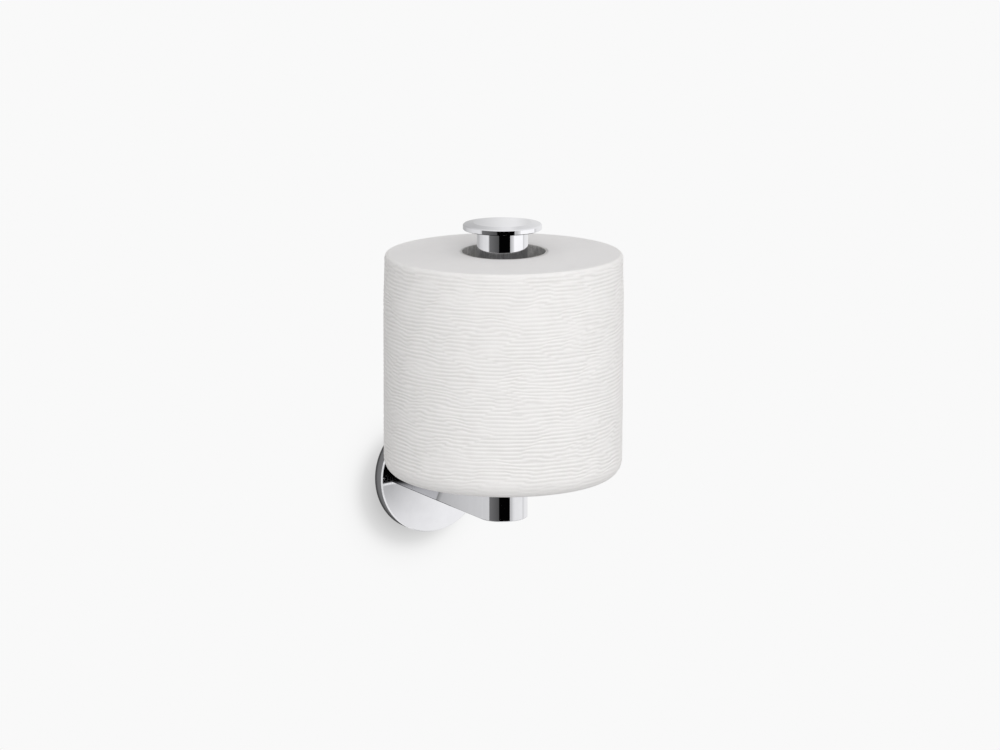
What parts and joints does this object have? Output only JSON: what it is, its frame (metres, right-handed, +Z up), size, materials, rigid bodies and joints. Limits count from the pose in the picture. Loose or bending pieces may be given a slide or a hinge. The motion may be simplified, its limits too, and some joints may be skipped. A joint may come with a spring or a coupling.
{
  "type": "toilet paper holder",
  "caption": "Wall-mounted upright toilet paper holder: round plate, level arm and capped post carrying a paper roll on a turning hub.",
  "frame": {"origin": "centre of the round wall plate, on the wall surface", "axes": "+Y into the wall, +Z up along the post, +X to the right seen from the room"},
  "size_m": [0.114, 0.1303, 0.1653],
  "materials": {
    "chrome": "polished chrome plate",
    "plated_steel": "zinc plated",
    "fastener_steel": "bright zinc plated",
    "insert_brass": "turned",
    "seal_rubber": "matt",
    "hub_nylon": "satin moulded nylon",
    "core_board": "raw grey-brown board",
    "tissue": "soft white embossed tissue"
  },
  "bodies": {
    "holder": {"wall_bracket": "plated_steel", "rim_seal": "seal_rubber", "wall_plate": "chrome", "plate_set_screw": "fastener_steel", "arm_screws": "fastener_steel", "arm_dowel": "fastener_steel", "arm": "chrome", "post_screw": "fastener_steel", "spring_washer": "fastener_steel", "flat_washer": "fastener_steel", "access_plug": "chrome", "post_dowel": "fastener_steel", "support_collar": "chrome", "post_foot_insert": "insert_brass", "post_tube": "chrome", "post_head_insert": "insert_brass", "cap_stud": "fastener_steel", "cap_o_ring": "seal_rubber", "cap": "chrome"},
    "hub": {"roll_hub": "hub_nylon"},
    "roll": {"core_tube": "core_board", "paper_roll": "tissue", "paper_tail": "tissue"}
  },
  "joints": [
    {"name": "roll_spin", "type": "hinge", "parent": "holder", "child": "hub", "pos_m": [0, -0.0733, 0.0149], "axis": [0, 0, 1], "continuous": true},
    {"name": "roll_lift", "type": "slide", "parent": "hub", "child": "roll", "axis": [0, 0, 1], "range_m": [0, 0.13]}
  ]
}
